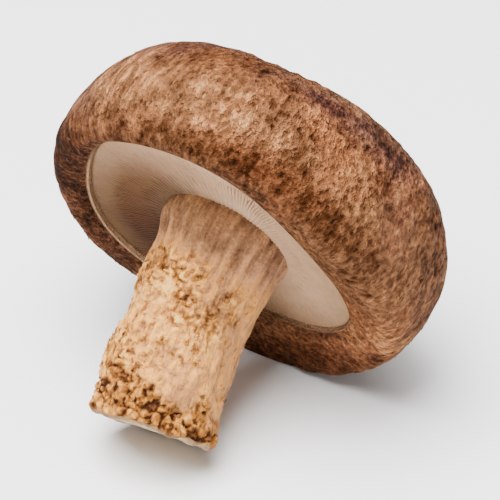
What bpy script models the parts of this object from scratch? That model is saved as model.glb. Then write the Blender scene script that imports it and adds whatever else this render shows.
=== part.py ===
"""A shiitake mushroom, picked, with its stem cut short.

It lies on the rim of its cap and on the lower edge of the stem's cut end.
It is modelled in three solids, one for each colour that holds together:
the brown cap, the ring of cream gills under it and the tan stem.

Each shape is worked out upright, about the cap's own axis, with the middle of
the cap's widest ring at the origin and the stem pointing down. An empty then
tips it over about Y, so that the side at +X is the one that rests.
Units are metres, angles are radians unless a name says degrees.
"""

import math

import bpy
import numpy as np

MM = 0.001

# The cap: a squarish dome over a rim that rolls in under it
CAP_RADIUS = 30.0 * MM
CAP_HEIGHT = 18.7 * MM          # widest ring to crown
CAP_POWER = 2.37                # 2 would be an ellipse, more is squarer
CAP_OVAL = 0.48 * MM            # how much the widest ring departs from round
CAP_OVAL_TURN = 1.135           # direction of its long axis
RIM_THICKNESS = 3.6 * MM        # widest ring in to the rim's lowest line
RIM_DEPTH = 7.39 * MM           # widest ring down to the rim's lowest line
RIM_DEPTH_SWAY = 0.56 * MM      # the rim hangs lower on one side
RIM_DEPTH_TURN = -0.874

# The lip is the edge of the skin that has rolled in, where the gills begin.
# It is nearest the stem on the side that rests, and almost at the rim on the other.
LIP_RADIUS = 20.76 * MM
LIP_RISE = 1.16 * MM            # rim's lowest line up to the lip
LIP_WAVES = (                   # (waves around, size, turn)
    (1, 4.43 * MM, 2.779),
    (2, 1.09 * MM, -1.511),
    (3, 1.98 * MM, 0.953),
)

# The hollow under the cap that holds the gills
CEILING_AT_LIP = 4.0 * MM       # above the lip
CEILING_AT_STEM = -0.5 * MM     # measured from the widest ring
HOLLOW_POWER = 1.5              # 1 would be a cone, more bends down near the lip
GAP = 0.3 * MM                  # between neighbouring solids

# The gills: long ones from stem to lip, a short one between each two
LONG_GILLS = 40
GILL_EDGE = 0.6 * MM            # thickness along the free edge
GILL_ROOT = 0.8 * MM            # thickness where it leaves the flesh
ROOT_SHARE = 0.45               # where gills crowd, half a root is at most this much of their pitch
EDGE_SHARE = 0.8                # and an edge is at most this much of its root
GILL_SET_BACK = 0.7 * MM        # lip up to the free edges at the lip
GILL_EDGE_AT_STEM = -4.0 * MM   # free edges beside the stem
FLESH_OVER_GILLS = 0.9 * MM     # the cream layer that the gills hang from
SHORT_GILL_START = 0.38         # part of the way from stem to lip
SHORT_GILL_SLOPE = 0.22         # part of the way over which it grows to full depth
STEM_HOLE_X = -0.35 * MM
STEM_HOLE_Y = 0.55 * MM
STEM_HOLE_RADIUS = 10.4 * MM

# The stem leans away from the cap's axis and bows a little
STEM_TOP = (-0.72 * MM, 0.46 * MM, -0.8 * MM)
STEM_BOW = (3.55 * MM, 1.83 * MM, -17.5 * MM)
STEM_END = (9.4 * MM, -0.25 * MM, -32.0 * MM)
STEM_RADII = (                  # (part of the length from the top, radius)
    (0.00, 9.7 * MM),
    (0.10, 9.9 * MM),
    (0.17, 9.4 * MM),
    (0.33, 8.7 * MM),
    (0.58, 8.7 * MM),
    (0.82, 9.15 * MM),
    (1.00, 9.3 * MM),
)
CUT_ROUNDING = 1.0 * MM         # the worn edge of the cut
CUT_SLANT = 0.62 * MM           # how far the cut is off square, at its edge
CUT_SLANT_TURN = -1.77
CUT_SLANT_REACH = 0.25          # part of the length that the slant draws with it

# Relief: lumps are smooth swellings, scales stand in staggered rows
LUMP_WAVES_EACH = 24
CAP_LUMP = 0.28 * MM
CAP_LUMP_SIZE = 17.0 * MM
CAP_SCALE = 0.24 * MM
CAP_SCALES_AROUND = 30
CAP_SCALE_ROW = 4.4 * MM
CAP_SCALE_DRIFT = 0.045         # how far the scales stray sideways
CAP_ROW_DRIFT = 0.3             # how far the rows stray, in rows
CAP_SMOOTH_CROWN = 7.0 * MM     # radius within which the crown has no scales
CAP_SCALED_FROM = 15.0 * MM     # radius from which the scales are full
UNDER_SCALED_FROM = 5.0 * MM    # width of rolled-in skin that takes full relief
STEM_LUMP = 0.20 * MM
STEM_LUMP_SIZE = 9.0 * MM
STEM_SCALE = 0.26 * MM
STEM_SCALES_AROUND = 15
STEM_SCALE_ROW = 0.14           # part of the length
STEM_SCALE_DRIFT = 0.12         # how far the scales stray sideways
STEM_ROW_DRIFT = 0.35           # how far the rows stray, in rows
STEM_SCALE_GROWTH = 3           # scales grow to twice their height with this power of the length
COLLAR_RIBS = 20
COLLAR_RIB = 0.24 * MM
COLLAR_FADE = 0.15              # part of the length from which the ribs fade
COLLAR_END = 0.30               # part of the length that the ribs cover
RIB_DRIFT = 0.8
SMOOTH_UNTIL = 0.06             # the stem has no relief down to this part of its length
ROUGH_FROM = 0.16               # and full relief from this part
CUT_CRUMBLE = 0.25 * MM         # unevenness of the cut, most at its edge
CUT_CRUMBLE_SIZE = 4.0 * MM
CUT_CRUMBLE_POWER = 3           # how fast it fades from the edge inwards

# How it lies
LYING_TILT_DEG = 65.54          # cap's axis from upright
CAP_PRESS = 1.0 * MM            # the rim is pressed flat by this much where it rests
LOWEST_RIM = 28.41 * MM         # unpressed rim below the cap's middle, once tipped
LYING_HEIGHT = LOWEST_RIM - CAP_PRESS
RELIEF_FADE = 1.6 * MM          # relief dies out this far above the table

# Mesh fineness
CAP_SIDES = 120
DOME_RINGS = 18
RIM_RINGS = 4
UNDER_RINGS = 4
STEM_SIDES = 60
STEM_RINGS = 16
TOP_RINGS = (0.0, 0.5)           # parts of the radius
CUT_RINGS = (0.62, 0.3, 0.0)
WORN_EDGE = ((0.0, 1.0), (0.3, 0.3))    # (inward, above the cut), in roundings
SIDES_PER_GILL = 4
GILL_RINGS = 4
MERGE = 0.01 * MM

SKIN = ((0.235, 0.115, 0.055), 0.62)
CREAM = ((0.72, 0.56, 0.40), 0.55)
TAN = ((0.52, 0.33, 0.18), 0.68)


def clear_scene():
    for item in list(bpy.data.objects):
        bpy.data.objects.remove(item, do_unlink=True)


def make_material(name, finish):
    colour, roughness = finish
    material = bpy.data.materials.new(name)
    material.use_nodes = True
    shader = material.node_tree.nodes["Principled BSDF"]
    shader.inputs["Base Color"].default_value = (*colour, 1.0)
    shader.inputs["Roughness"].default_value = roughness
    shader.inputs["Metallic"].default_value = 0.0
    return material


def smooth_step(value, start, end):
    """0 before start, 1 after end, an S curve between."""
    part = np.clip((value - start) / (end - start), 0.0, 1.0)
    return part * part * (3.0 - 2.0 * part)


def lumps(points, size, seed):
    """Smooth swellings about size across: a sum of plane waves in random directions."""
    rng = np.random.default_rng(seed)
    ways = rng.normal(size=(LUMP_WAVES_EACH, 3))
    ways /= np.linalg.norm(ways, axis=1)[:, None]
    starts = rng.uniform(0.0, 2.0 * math.pi, LUMP_WAVES_EACH)
    waves = np.cos(points @ ways.T * (2.0 * math.pi / size) + starts)
    return waves.sum(axis=1) / math.sqrt(LUMP_WAVES_EACH / 2.0)


def cap_radius(turn):
    return CAP_RADIUS + CAP_OVAL * np.cos(2.0 * (turn - CAP_OVAL_TURN))


def rim_depth(turn):
    return RIM_DEPTH + RIM_DEPTH_SWAY * np.cos(turn - RIM_DEPTH_TURN)


def lip_radius(turn):
    radius = np.full_like(turn, LIP_RADIUS)
    for waves, size, start in LIP_WAVES:
        radius += size * np.cos(waves * (turn - start))
    return radius


def lip_height(turn):
    return LIP_RISE - rim_depth(turn)


def gill_edge_height(turn, part):
    """Height of the gills' free edges, part of the way from the stem to the lip."""
    at_lip = lip_height(turn) + GILL_SET_BACK
    return GILL_EDGE_AT_STEM + (at_lip - GILL_EDGE_AT_STEM) * part ** HOLLOW_POWER


def ceiling_height(turn, part):
    """Height of the cap's underside above the gills, part of the way to the lip."""
    at_lip = lip_height(turn) + CEILING_AT_LIP
    return CEILING_AT_STEM + (at_lip - CEILING_AT_STEM) * part ** HOLLOW_POWER


def hole_radius(turn):
    """Distance from the cap's axis to the hole that the stem passes through."""
    return STEM_HOLE_RADIUS + STEM_HOLE_X * np.cos(turn) + STEM_HOLE_Y * np.sin(turn)


def height_over_table(points):
    tilt = math.radians(LYING_TILT_DEG)
    return LYING_HEIGHT + math.cos(tilt) * points[:, 2] - math.sin(tilt) * points[:, 0]


def press_on_table(points):
    """Lift whatever would sink into the table straight up to its surface."""
    tilt = math.radians(LYING_TILT_DEG)
    up = np.array([-math.sin(tilt), 0.0, math.cos(tilt)])
    sunk = np.minimum(height_over_table(points), 0.0)
    return points - sunk[:, None] * up


def turned_solid(name, profile, sides, closed, material, collection):
    """Turn a profile of (radius, height) points about Z with a Screw modifier."""
    mesh = bpy.data.meshes.new(name)
    edges = [(i, i + 1) for i in range(len(profile) - 1)]
    if closed:
        edges.append((len(profile) - 1, 0))
    mesh.from_pydata([(radius, 0.0, height) for radius, height in profile], edges, [])
    solid = bpy.data.objects.new(name, mesh)
    collection.objects.link(solid)
    screw = solid.modifiers.new("Turn", "SCREW")
    screw.axis = "Z"
    screw.steps = sides
    screw.render_steps = sides
    screw.use_merge_vertices = True
    screw.merge_threshold = MERGE
    bpy.context.view_layer.update()
    depsgraph = bpy.context.evaluated_depsgraph_get()
    turned = bpy.data.meshes.new_from_object(solid.evaluated_get(depsgraph))
    solid.modifiers.clear()
    solid.data = turned
    bpy.data.meshes.remove(mesh)
    turned.name = name
    turned.materials.append(material)
    return solid


def read_points(mesh):
    points = np.empty(len(mesh.vertices) * 3)
    mesh.vertices.foreach_get("co", points)
    return points.reshape(-1, 3)


def read_normals(mesh):
    normals = np.empty(len(mesh.vertices) * 3)
    mesh.vertices.foreach_get("normal", normals)
    return normals.reshape(-1, 3)


def write_points(mesh, points):
    mesh.vertices.foreach_set("co", points.astype(np.float32).ravel())
    mesh.update()


def places_on_profile(mesh, profile):
    """For each vertex, the profile point that it was turned from, and its turn."""
    points = read_points(mesh)
    radius = np.hypot(points[:, 0], points[:, 1])
    turn = np.arctan2(points[:, 1], points[:, 0])
    offsets = np.stack([radius, points[:, 2]], axis=1)[:, None, :] - np.array(profile)[None, :, :]
    return np.argmin((offsets ** 2).sum(axis=2), axis=1), turn


def around(radius, turn, height):
    return np.stack([radius * np.cos(turn), radius * np.sin(turn), height], axis=1)


def cap_stations():
    """The cap's rings in order: which stretch each is on, and how far along it."""
    stations = [("dome", i / DOME_RINGS) for i in range(DOME_RINGS + 1)]
    stations += [("rim", i / RIM_RINGS) for i in range(1, RIM_RINGS + 1)]
    stations += [("under", i / UNDER_RINGS) for i in range(1, UNDER_RINGS + 1)]
    stations += [("ceiling", 1.0), ("ceiling", 0.5), ("ceiling", 0.0), ("middle", 0.0)]
    return stations


def cap_shape(stretch, part, turn):
    """Radius and height of one ring of the cap, before its relief."""
    widest = cap_radius(turn)
    bottom = widest - RIM_THICKNESS
    depth = rim_depth(turn)
    lip = lip_radius(turn)
    angle = part * math.pi / 2.0
    if stretch == "dome":
        radius = widest * math.sin(angle) ** (2.0 / CAP_POWER)
        return radius, np.full_like(turn, CAP_HEIGHT * abs(math.cos(angle)) ** (2.0 / CAP_POWER))
    if stretch == "rim":
        return bottom + RIM_THICKNESS * math.cos(angle), -depth * math.sin(angle)
    if stretch == "under":
        return bottom - (bottom - lip) * math.sin(angle), lip_height(turn) - LIP_RISE * math.cos(angle)
    if stretch == "ceiling":
        inner = hole_radius(turn)
        return inner + (lip - inner) * part, ceiling_height(turn, part)
    return np.zeros_like(turn), np.full_like(turn, CEILING_AT_STEM)


def cap_relief(points, skin_length):
    """Outward relief of the skin: broad lumps, and scales in staggered rows."""
    radius = np.hypot(points[:, 0], points[:, 1])
    turn = np.arctan2(points[:, 1], points[:, 0])
    stray = CAP_SCALE_DRIFT * lumps(points, CAP_LUMP_SIZE, 11)
    row = skin_length / CAP_SCALE_ROW + CAP_ROW_DRIFT * lumps(points, CAP_LUMP_SIZE, 12)
    scales = np.cos(CAP_SCALES_AROUND * (turn + stray)) * np.cos(math.pi * row)
    scales *= smooth_step(radius, CAP_SMOOTH_CROWN, CAP_SCALED_FROM)
    return CAP_LUMP * lumps(points, CAP_LUMP_SIZE, 10) + CAP_SCALE * scales


def make_cap(material, collection):
    stations = cap_stations()
    start = np.zeros(1)
    rings = [cap_shape(stretch, part, start) for stretch, part in stations]
    profile = [(float(radius[0]), float(height[0])) for radius, height in rings]
    cap = turned_solid("cap", profile, CAP_SIDES, False, material, collection)
    which, turn = places_on_profile(cap.data, profile)

    steps = np.diff(np.array(profile), axis=0)
    lengths = np.concatenate([[0.0], np.cumsum(np.hypot(steps[:, 0], steps[:, 1]))])
    radius = np.empty(len(turn))
    height = np.empty(len(turn))
    on_skin = np.zeros(len(turn))
    for index, (stretch, part) in enumerate(stations):
        here = which == index
        radius[here], height[here] = cap_shape(stretch, part, turn[here])
        if stretch in ("dome", "rim"):
            on_skin[here] = 1.0
        if stretch == "under":
            rolled = cap_radius(turn[here]) - RIM_THICKNESS - lip_radius(turn[here])
            on_skin[here] = (1.0 - part) ** 2 * smooth_step(rolled, 0.0, UNDER_SCALED_FROM)
    points = around(radius, turn, height)
    write_points(cap.data, points)

    clear_of_table = smooth_step(height_over_table(points), 0.0, RELIEF_FADE)
    relief = cap_relief(points, lengths[which]) * on_skin * clear_of_table
    points = points + relief[:, None] * read_normals(cap.data)
    write_points(cap.data, press_on_table(points))
    cap.data.shade_smooth()
    return cap


def gill_stations():
    """The ring of gills, section by section: top face outwards, then the gilled face in."""
    stations = [("top", 0.0), ("top", 0.5), ("top", 1.0)]
    stations += [("gilled", 1.0 - i / GILL_RINGS) for i in range(GILL_RINGS + 1)]
    return stations


def gill_shape(face, part, slot, side):
    """Place of one point of the gills' ring.

    slot numbers the gills, even ones long and odd ones short. side runs over
    the four lines drawn across each gill: two at its root, two at its edge.
    """
    gills = 2 * LONG_GILLS
    middle = 2.0 * math.pi * slot / gills
    inner = hole_radius(middle)
    radius = inner + (lip_radius(middle) - GAP - inner) * part
    pitch = 2.0 * math.pi * radius / gills
    root_half = np.minimum(GILL_ROOT / 2.0, ROOT_SHARE * pitch)
    edge_half = np.minimum(GILL_EDGE / 2.0, EDGE_SHARE * root_half)
    offset = np.select([side == 0, side == 1, side == 2], [-root_half, -edge_half, edge_half], root_half)
    turn = middle + offset / radius
    top = ceiling_height(turn, part) - GAP
    if face == "top":
        return around(radius, turn, top)
    valley = top - FLESH_OVER_GILLS
    edge = gill_edge_height(turn, part)
    grown = np.where(slot % 2 == 0, 1.0,
                     smooth_step(part, SHORT_GILL_START, SHORT_GILL_START + SHORT_GILL_SLOPE))
    on_edge = ((side == 1) | (side == 2)) * grown
    return around(radius, turn, valley + (edge - valley) * on_edge)


def make_gills(material, collection):
    stations = gill_stations()
    lines = 2 * LONG_GILLS * SIDES_PER_GILL
    profile = []
    for face, part in stations:
        start = np.zeros(1)
        inner = hole_radius(start)[0]
        radius = inner + (lip_radius(start)[0] - GAP - inner) * part
        height = ceiling_height(start, part)[0] if face == "top" else gill_edge_height(start, part)[0]
        profile.append((float(radius), float(height)))
    gills = turned_solid("gills", profile, lines, True, material, collection)
    which, turn = places_on_profile(gills.data, profile)
    line = np.rint(turn / (2.0 * math.pi) * lines).astype(int) % lines
    slot = line // SIDES_PER_GILL
    side = line % SIDES_PER_GILL

    points = np.empty((len(line), 3))
    for index, (face, part) in enumerate(stations):
        here = which == index
        points[here] = gill_shape(face, part, slot[here], side[here])
    write_points(gills.data, points)
    gills.data.shade_smooth()
    return gills


def stem_stations():
    """The stem's rings: the stretch each is on, its part of the length, how far out
    from the middle line it is, and how far past the end."""
    end_radius = STEM_RADII[-1][1]
    stations = [("top", 0.0, reach, 0.0) for reach in TOP_RINGS]
    stations += [("side", i / STEM_RINGS, 1.0, 0.0) for i in range(STEM_RINGS)]
    for inward, above in WORN_EDGE:
        stations.append(("side", 1.0, 1.0 - inward * CUT_ROUNDING / end_radius, -above * CUT_ROUNDING))
    stations.append(("cut", 1.0, 1.0 - CUT_ROUNDING / end_radius, 0.0))
    stations += [("cut", 1.0, reach, 0.0) for reach in CUT_RINGS]
    return stations


def stem_frame(part):
    """Middle line of the stem, a curve bent by three points, and two ways across it."""
    top, bow, end = (np.array(point) for point in (STEM_TOP, STEM_BOW, STEM_END))
    part = part[:, None]
    middle = (1 - part) ** 2 * top + 2 * part * (1 - part) * bow + part ** 2 * end
    along = 2 * (1 - part) * (bow - top) + 2 * part * (end - bow)
    along /= np.linalg.norm(along, axis=1)[:, None]
    across = np.array([1.0, 0.0, 0.0]) - along[:, :1] * along
    across /= np.linalg.norm(across, axis=1)[:, None]
    return middle, along, across, np.cross(across, along)


def stem_length():
    middle = stem_frame(np.linspace(0.0, 1.0, 50))[0]
    return float(np.linalg.norm(np.diff(middle, axis=0), axis=1).sum())


def stem_radius(part):
    parts, radii = zip(*STEM_RADII)
    return np.interp(part, parts, radii)


def stem_relief(points, part, turn):
    """Outward relief of the stem's side: ribs at the collar, scales and pits below."""
    below_collar = smooth_step(part, COLLAR_FADE, COLLAR_END)
    ribs = np.cos(COLLAR_RIBS * turn + RIB_DRIFT * lumps(points, STEM_LUMP_SIZE, 21))
    ribs *= 1.0 - below_collar
    stray = STEM_SCALE_DRIFT * lumps(points, STEM_LUMP_SIZE, 22)
    row = part / STEM_SCALE_ROW + STEM_ROW_DRIFT * lumps(points, STEM_LUMP_SIZE, 23)
    scales = np.cos(STEM_SCALES_AROUND * (turn + stray)) * np.cos(math.pi * row)
    scales *= below_collar * (1.0 + part ** STEM_SCALE_GROWTH)
    swell = STEM_LUMP * lumps(points, STEM_LUMP_SIZE, 20)
    out_of_cap = smooth_step(part, SMOOTH_UNTIL, ROUGH_FROM)
    return (swell + COLLAR_RIB * ribs + STEM_SCALE * scales) * out_of_cap


def make_stem(material, collection):
    stations = stem_stations()
    length = stem_length()
    profile = []
    for stretch, part, reach, shift in stations:
        radius = reach * float(stem_radius(part))
        profile.append((radius, STEM_TOP[2] - part * length - shift))
    stem = turned_solid("stem", profile, STEM_SIDES, False, material, collection)
    which, turn = places_on_profile(stem.data, profile)

    stretch, part, reach, shift = (np.array(column)[which] for column in zip(*stations))
    middle, along, across, beside = stem_frame(part)
    radius = reach * stem_radius(part)
    outward = np.cos(turn)[:, None] * across + np.sin(turn)[:, None] * beside
    slant = CUT_SLANT * reach * np.cos(turn - CUT_SLANT_TURN) * smooth_step(part, 1.0 - CUT_SLANT_REACH, 1.0)
    points = middle + radius[:, None] * outward + (shift + slant)[:, None] * along

    clear_of_table = smooth_step(height_over_table(points), 0.0, RELIEF_FADE)
    relief = stem_relief(points, part, turn) * (stretch == "side") * clear_of_table
    crumble = CUT_CRUMBLE * lumps(points, CUT_CRUMBLE_SIZE, 24) * reach ** CUT_CRUMBLE_POWER
    crumble *= (stretch == "cut") * clear_of_table
    points = points + relief[:, None] * outward + crumble[:, None] * along
    points[:, 2] = np.minimum(points[:, 2], STEM_TOP[2])
    write_points(stem.data, press_on_table(points))
    stem.data.shade_smooth()
    return stem


def lay_down(solids, collection):
    """Tip the mushroom over and set it so that the origin is under the middle of its box."""
    bearer = bpy.data.objects.new("mushroom_lying", None)
    bearer.empty_display_size = CAP_RADIUS
    bearer.rotation_euler = (0.0, math.radians(LYING_TILT_DEG), 0.0)
    collection.objects.link(bearer)
    for solid in solids:
        solid.parent = bearer
    bpy.context.view_layer.update()
    corners = []
    for solid in solids:
        turn = np.array(solid.matrix_world)
        points = read_points(solid.data) @ turn[:3, :3].T
        corners += [points.min(axis=0), points.max(axis=0)]
    low, high = np.min(corners, axis=0), np.max(corners, axis=0)
    bearer.location = (-(low[0] + high[0]) / 2.0, -(low[1] + high[1]) / 2.0, LYING_HEIGHT)
    bpy.context.view_layer.update()


def main():
    clear_scene()
    collection = bpy.data.collections.new("shiitake_mushroom")
    bpy.context.scene.collection.children.link(collection)
    solids = [
        make_cap(make_material("cap_skin", SKIN), collection),
        make_gills(make_material("gill_cream", CREAM), collection),
        make_stem(make_material("stem_tan", TAN), collection),
    ]
    lay_down(solids, collection)


main()
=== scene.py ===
import math

import bpy
import numpy as np
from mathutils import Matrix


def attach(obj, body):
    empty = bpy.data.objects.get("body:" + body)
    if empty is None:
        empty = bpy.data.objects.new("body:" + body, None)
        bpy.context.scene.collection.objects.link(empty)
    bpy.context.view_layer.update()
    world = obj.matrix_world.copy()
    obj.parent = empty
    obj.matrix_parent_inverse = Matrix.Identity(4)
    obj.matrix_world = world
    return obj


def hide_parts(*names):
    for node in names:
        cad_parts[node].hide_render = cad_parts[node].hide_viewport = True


# A shiitake mushroom, lying on its cap's rim and its cut stem.
# Shapes are worked out in millimetres, upright, about the cap's own axis, with the
# middle of the cap's widest ring at the origin. toWorld tips them over as they lie.

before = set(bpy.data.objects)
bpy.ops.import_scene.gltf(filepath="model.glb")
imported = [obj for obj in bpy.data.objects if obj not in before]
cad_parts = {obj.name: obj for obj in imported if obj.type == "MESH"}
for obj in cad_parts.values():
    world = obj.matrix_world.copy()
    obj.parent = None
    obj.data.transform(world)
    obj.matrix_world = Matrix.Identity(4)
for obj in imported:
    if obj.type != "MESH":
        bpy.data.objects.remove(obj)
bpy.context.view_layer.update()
print("frame loaded")

mm = 0.001

lying = {
    "tilt": math.radians(65.54),           # cap's axis from upright, about Y
    "middle": (4.7287, -0.3289, 27.41),    # where the cap's middle lies, in mm
    "reliefFade": 1.6,                     # relief dies out this far above the table
}


# Noise and other sums on arrays

noiseTable = 65536                                # random values that a lattice draws from
noiseFactors = (73856093, 19349663, 83492791)     # primes that mix a place's three numbers
noiseGain = 1.6                                   # spreads layered noise out to about -1 to 1
cellTable = 4096                                  # sets of random numbers for scattered dots
cellFactors = (7919, 104729)                      # primes that mix a cell's column and row


def smoothStep(value, start, end):
    # 0 before start, 1 after end, an S curve between
    part = np.clip((value - start) / (end - start), 0.0, 1.0)
    return part * part * (3.0 - 2.0 * part)


def lumps(points, size, seed, waves=24):
    # Sum of plane waves of one length in random directions, scaled to spread about 1
    rng = np.random.default_rng(seed)
    ways = rng.normal(size=(waves, 3))
    ways /= np.linalg.norm(ways, axis=1)[:, None]
    starts = rng.uniform(0.0, 2.0 * math.pi, waves)
    total = np.zeros(points.shape[:-1])
    for way, start in zip(ways, starts):
        total += np.cos(points @ way * (2.0 * math.pi / size) + start)
    return total / math.sqrt(waves / 2.0)


def latticeNoise(points, size, seed):
    # Random values on a lattice of the given size, blended smoothly between, -1 to 1
    table = np.random.default_rng(seed).uniform(-1.0, 1.0, noiseTable)
    cells = points / size
    low = np.floor(cells).astype(np.int64)
    part = cells - low
    part = part * part * (3.0 - 2.0 * part)
    total = np.zeros(points.shape[:-1])
    for corner in range(8):
        step = np.array([corner & 1, (corner >> 1) & 1, (corner >> 2) & 1])
        mixed = (low + step) * np.array(noiseFactors)
        mixed = mixed[..., 0] ^ mixed[..., 1] ^ mixed[..., 2]
        weight = np.prod(np.where(step == 1, part, 1.0 - part), axis=-1)
        total += weight * table[mixed & (noiseTable - 1)]
    return total


def layeredNoise(points, size, seed, layers):
    # Lattice noise added to itself at half the size and half the strength, -1 to 1
    total, strength, whole = 0.0, 1.0, 0.0
    for layer in range(layers):
        total = total + strength * latticeNoise(points, size / 2.0 ** layer, seed + layer)
        whole += strength
        strength *= 0.5
    return total / whole * noiseGain


def grainPlace(turn, length, reach, stretch):
    # A place whose noise runs in streaks down a turned surface: a circle of radius
    # reach for the turn, and the length along the surface shortened by stretch
    return np.stack([np.cos(turn) * reach, np.sin(turn) * reach, length / stretch + 0.0 * turn], axis=-1)


def cellsAround(turn, rows, count, seed, jitter=0.8):
    # One scattered dot in each cell of a grid of count cells around by rows along,
    # every other row half a cell on. For each place: the offset from its nearest dot,
    # how much further the next one is, and two random numbers that belong to the dot
    table = np.random.default_rng(seed).uniform(0.0, 1.0, (cellTable, 4))
    u = turn / (2.0 * math.pi) * count
    column, row = np.floor(u).astype(np.int64), np.floor(rows).astype(np.int64)
    near = np.full(u.shape, np.inf)
    second = np.full(u.shape, np.inf)
    best = np.zeros(u.shape + (4,))
    for dRow in (-1, 0, 1):
        for dColumn in (-2, -1, 0, 1, 2):
            r, c = row + dRow, column + dColumn
            draw = table[(np.mod(c, count) * cellFactors[0] + r * cellFactors[1]) % cellTable]
            shift = 0.5 * np.mod(r, 2)
            du = u - (c + 0.5 + shift + jitter * (draw[..., 0] - 0.5))
            dv = rows - (r + 0.5 + jitter * (draw[..., 1] - 0.5))
            far = np.hypot(du, dv)
            closer = far < near
            second = np.where(closer, near, np.minimum(second, far))
            found = np.stack([du, dv, draw[..., 2], draw[..., 3]], axis=-1)
            best = np.where(closer[..., None], found, best)
            near = np.where(closer, far, near)
    return best[..., 0], best[..., 1], second - near, best[..., 2], best[..., 3]


def spot(turn, length, at, size, radius):
    # A soft round patch, 1 in its middle: at is its turn in degrees and its length
    away = turn - math.radians(at[0])
    away = np.arctan2(np.sin(away), np.cos(away))
    return np.exp(-((away * radius / size[0]) ** 2 + ((length - at[1]) / size[1]) ** 2))


def towards(turn, degrees):
    # 1 on the side at that turn, 0 on the other side, a cosine between
    return 0.5 + 0.5 * np.cos(turn - math.radians(degrees))


# Placing and meshing

def around(radius, turn, height):
    # Points on rings: x and y from the radius and the turn, z from the height
    return np.stack([radius * np.cos(turn), radius * np.sin(turn), height], axis=-1)


def toWorld(points):
    # Turned about Y by the tilt, moved to where the cap's middle lies, in metres
    cos, sin = math.cos(lying["tilt"]), math.sin(lying["tilt"])
    x, y, z = points[..., 0], points[..., 1], points[..., 2]
    tipped = np.stack([cos * x + sin * z, y, cos * z - sin * x], axis=-1)
    return (tipped + np.array(lying["middle"])) * mm


def heightOverTable(points):
    # The height that toWorld gives, in mm
    cos, sin = math.cos(lying["tilt"]), math.sin(lying["tilt"])
    return lying["middle"][2] + cos * points[..., 2] - sin * points[..., 0]


def pressOnTable(points):
    # Whatever would sink into the table is lifted straight up to its surface
    up = np.array([-math.sin(lying["tilt"]), 0.0, math.cos(lying["tilt"])])
    return points - np.minimum(heightOverTable(points), 0.0)[..., None] * up


def ringNormals(rings):
    # Cross product of the steps along and around the grid, made to point outwards
    along = np.gradient(rings, axis=0)
    across = np.roll(rings, -1, axis=1) - np.roll(rings, 1, axis=1)
    normals = np.cross(along, across)
    return normals / np.maximum(np.linalg.norm(normals, axis=2), 1e-9)[..., None]


def meshFrom(name, points, quads, triangles, material, values):
    # points in mm; values are numbers or places kept on the vertices for the materials
    mesh = bpy.data.meshes.new(name)
    mesh.vertices.add(len(points))
    mesh.vertices.foreach_set("co", toWorld(points).astype(np.float32).ravel())
    corners = np.concatenate([quads.ravel(), triangles.ravel()]).astype(np.int32)
    starts = np.concatenate([np.arange(len(quads)) * 4, len(quads) * 4 + np.arange(len(triangles)) * 3])
    mesh.loops.add(len(corners))
    mesh.loops.foreach_set("vertex_index", corners)
    mesh.polygons.add(len(starts))
    mesh.polygons.foreach_set("loop_start", starts.astype(np.int32))
    for key, value in values.items():
        kind = "FLOAT_VECTOR" if value.ndim == 2 else "FLOAT"
        slot = mesh.attributes.new(key, kind, "POINT")
        slot.data.foreach_set("vector" if value.ndim == 2 else "value", value.astype(np.float32).ravel())
    mesh.update(calc_edges=True)
    mesh.validate()
    mesh.shade_smooth()
    mesh.materials.append(material)
    piece = bpy.data.objects.new(name, mesh)
    bpy.context.scene.collection.objects.link(piece)
    return piece


def ringPiece(name, rings, material, values, joined=False):
    # Rings of points, each joined to the next. The ends close in a middle point, or
    # the last ring joins the first. Faces are turned round if the volume comes out negative
    rows, columns = rings.shape[:2]
    points = rings.reshape(-1, 3)
    kept = {key: value.reshape(rows * columns, *value.shape[2:]) for key, value in values.items()}
    i, j = np.meshgrid(np.arange(rows if joined else rows - 1), np.arange(columns), indexing="ij")
    nextRow, nextColumn = (i + 1) % rows, (j + 1) % columns
    quads = np.stack([i * columns + j, i * columns + nextColumn,
                      nextRow * columns + nextColumn, nextRow * columns + j], axis=-1).reshape(-1, 4)
    triangles = np.zeros((0, 3), dtype=int)
    if not joined:
        step = np.arange(columns)
        first, last = rows * columns, rows * columns + 1
        foot = (rows - 1) * columns
        triangles = np.concatenate([
            np.stack([np.full(columns, first), (step + 1) % columns, step], axis=-1),
            np.stack([np.full(columns, last), foot + step, foot + (step + 1) % columns], axis=-1)])
        points = np.concatenate([points, [rings[0].mean(axis=0), rings[-1].mean(axis=0)]])
        kept = {key: np.concatenate([value, [value[:columns].mean(axis=0), value[-columns:].mean(axis=0)]])
                for key, value in kept.items()}
    halves = np.concatenate([quads[:, [0, 1, 2]], quads[:, [0, 2, 3]], triangles])
    a, b, c = (points[halves[:, k]] for k in range(3))
    if (np.cross(a, b) * c).sum() < 0.0:
        quads, triangles = quads[:, ::-1], triangles[:, ::-1]
    return meshFrom(name, points, quads, triangles, material, kept)


# Material building

def newMaterial(name, roughness, **plain):
    # A material and its shader; plain values go straight on the shader's sockets
    material = bpy.data.materials.new(name)
    material.use_nodes = True
    tree = material.node_tree
    shader = tree.nodes["Principled BSDF"]
    shader.inputs["Roughness"].default_value = roughness
    for socket, value in plain.items():
        shader.inputs[socket.replace("_", " ")].default_value = value
    return material, tree, shader


def addNode(tree, kind, settings=None, inputs=None):
    # A node with its settings. An input is given a value or another node's output
    node = tree.nodes.new(kind)
    for key, value in (settings or {}).items():
        setattr(node, key, value)
    for key, value in (inputs or {}).items():
        if hasattr(value, "node"):
            tree.links.new(value, node.inputs[key])
        else:
            node.inputs[key].default_value = value
    return node


def attribute(tree, name, output="Fac"):
    # A number, or with output Vector a place, that meshFrom kept on the vertices
    return addNode(tree, "ShaderNodeAttribute", {"attribute_name": name}).outputs[output]


def maths(tree, operation, first, second=0.0, clamp=False):
    # One sum on two numbers, kept within 0 to 1 by clamp
    return addNode(tree, "ShaderNodeMath", {"operation": operation, "use_clamp": clamp},
                   {0: first, 1: second}).outputs[0]


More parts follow.
